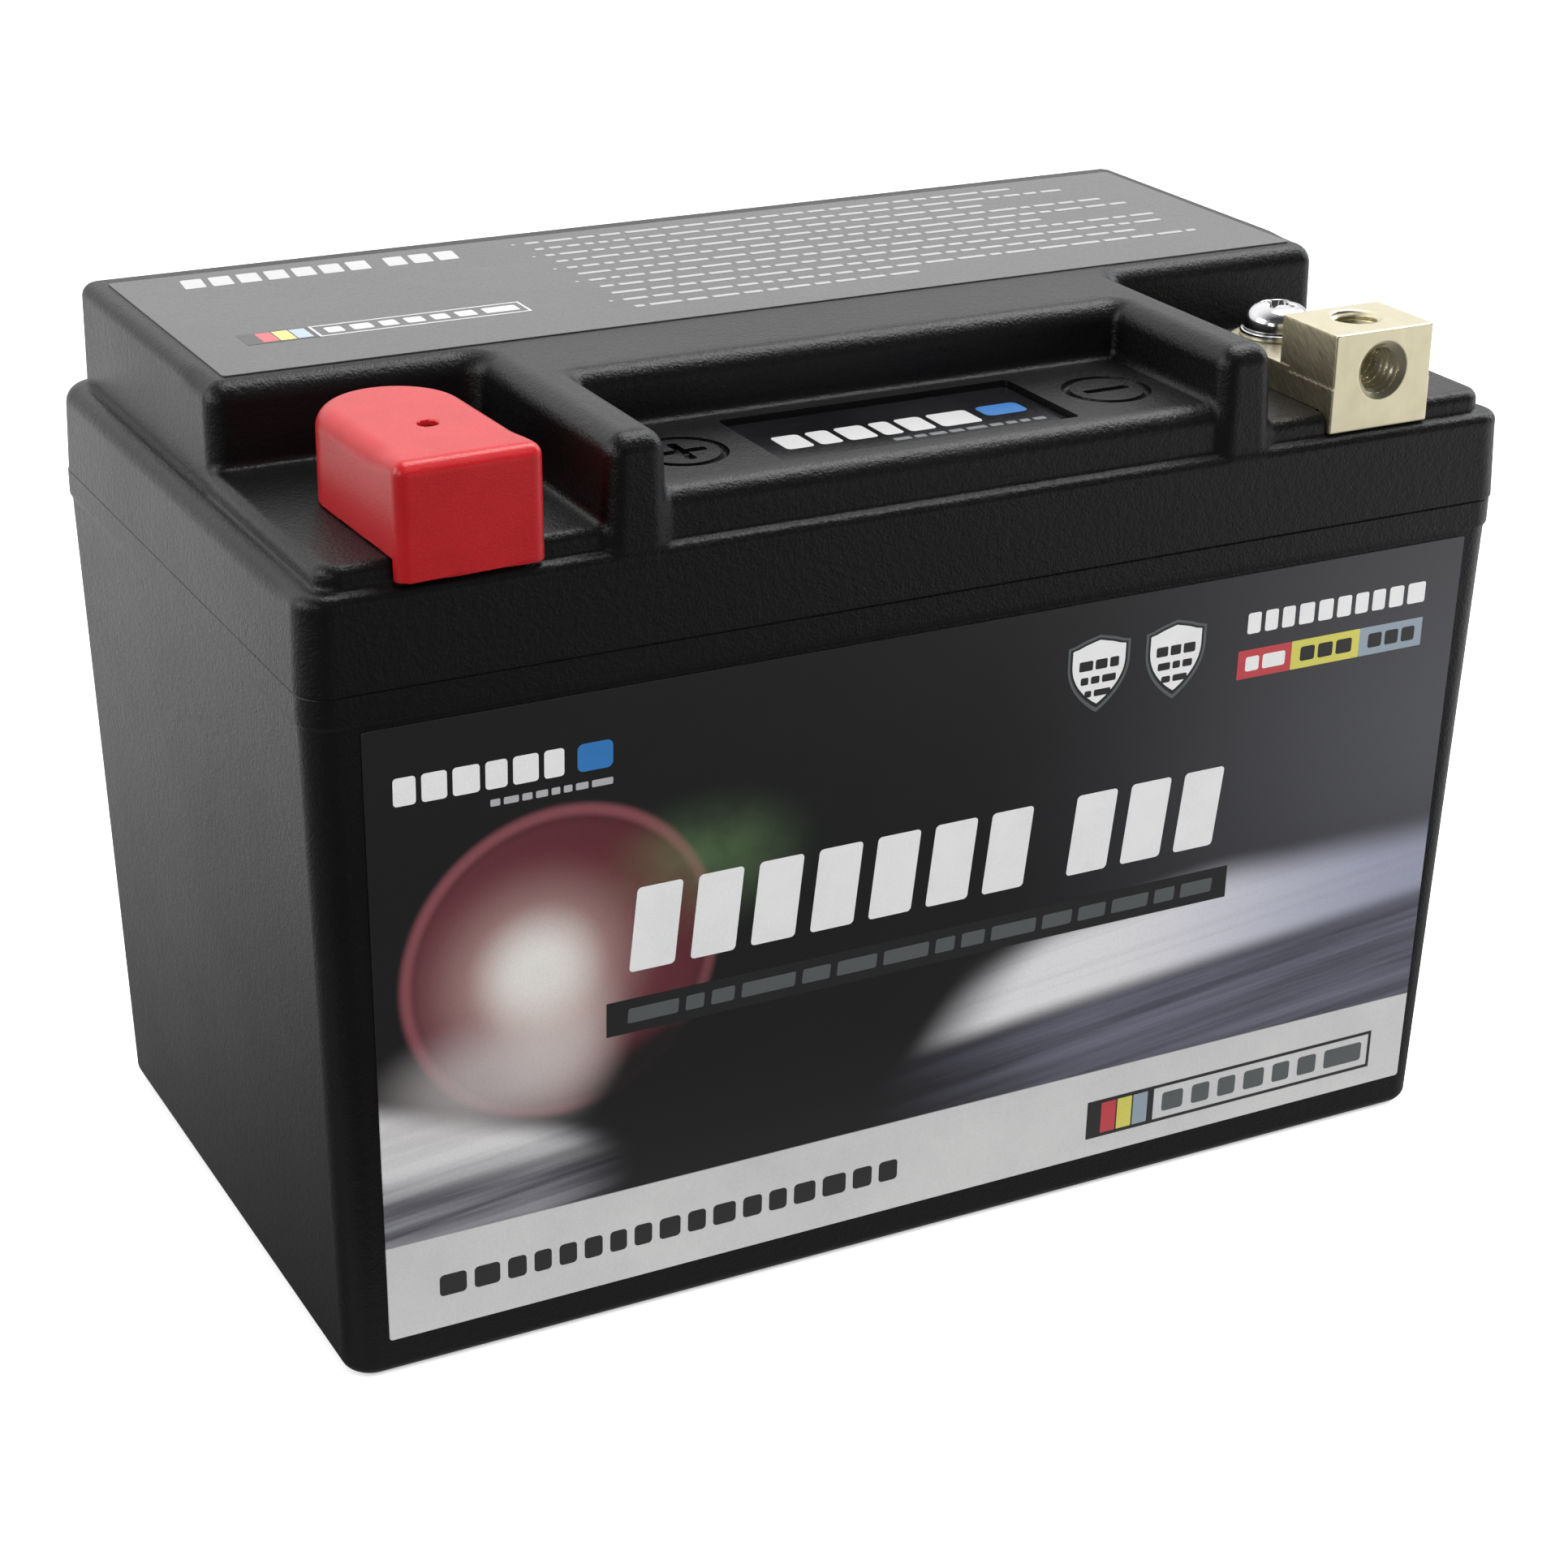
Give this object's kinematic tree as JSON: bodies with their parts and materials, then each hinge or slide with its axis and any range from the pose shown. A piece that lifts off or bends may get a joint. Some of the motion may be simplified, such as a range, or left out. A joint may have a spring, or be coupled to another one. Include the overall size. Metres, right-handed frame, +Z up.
{
  "type": "motorcycle battery",
  "caption": "Lithium motorcycle starter battery: drafted black case, stepped lid with two terminal bays, brass screw-down terminals and a lift-off red cap.",
  "frame": {"origin": "middle of the underside, at the centre of the 150 x 87 mm plan", "axes": "+X along the length towards the negative terminal, +Y from the label side to the back, +Z up"},
  "size_m": [0.15, 0.0873, 0.1057],
  "materials": {
    "case_plastic": "moulded black ABS with a fine sand grain",
    "label_film": "printed charcoal film under a clear gloss laminate",
    "label_dark": "gloss black film",
    "cap_red": "satin moulded red vinyl",
    "brass": "pale machined brass, satin front, sawn sides",
    "screw_steel": "bright zinc plated steel",
    "nickel": "rolled nickel strip",
    "copper": "tinned-edge copper strap",
    "cell_sleeve": "heat-shrunk blue sleeve",
    "holder_plastic": "moulded dark grey ABS",
    "foam": "closed-cell foam",
    "circuit_board": "green solder mask",
    "chip_plastic": "moulded black epoxy",
    "white_nylon": "natural nylon",
    "aluminium": "extruded heat sink, bead blasted"
  },
  "bodies": {
    "battery": {"balance_socket": "white_nylon", "bms_board": "circuit_board", "bms_controller": "chip_plastic", "bms_post_1": "white_nylon", "bms_post_2": "white_nylon", "bms_post_3": "white_nylon", "bms_post_4": "white_nylon", "bms_tray": "holder_plastic", "case_tub": "case_plastic", "cell_01": "cell_sleeve", "cell_02": "cell_sleeve", "cell_03": "cell_sleeve", "cell_04": "cell_sleeve", "cell_05": "cell_sleeve", "cell_06": "cell_sleeve", "cell_07": "cell_sleeve", "cell_08": "cell_sleeve", "cell_09": "cell_sleeve", "cell_10": "cell_sleeve", "cell_11": "cell_sleeve", "cell_12": "cell_sleeve", "cell_holder_lower": "holder_plastic", "cell_holder_upper": "holder_plastic", "foam_pad_floor": "foam", "heat_spreader": "aluminium", "label_deck": "label_dark", "label_front": "label_film", "label_top": "label_film", "lid": "case_plastic", "link_floor_a": "nickel", "link_floor_b": "nickel", "link_top_mid": "nickel", "link_top_neg": "nickel", "link_top_pos": "nickel", "mosfet_1": "chip_plastic", "mosfet_2": "chip_plastic", "mosfet_3": "chip_plastic", "mosfet_4": "chip_plastic", "shunt_resistor": "copper", "strap_b_minus": "copper", "strap_neg": "copper", "strap_pos": "copper", "terminal_block_neg": "brass", "terminal_block_pos": "brass", "terminal_insert_neg": "brass", "terminal_insert_pos": "brass", "terminal_screw_neg": "screw_steel", "terminal_screw_pos": "screw_steel", "washer_neg": "screw_steel", "washer_pos": "screw_steel"},
    "cap": {"terminal_cap": "cap_red"}
  },
  "joints": [
    {"name": "cap_lift", "type": "slide", "parent": "battery", "child": "cap", "axis": [0, 0, 1], "range_m": [0, 0.03]}
  ]
}
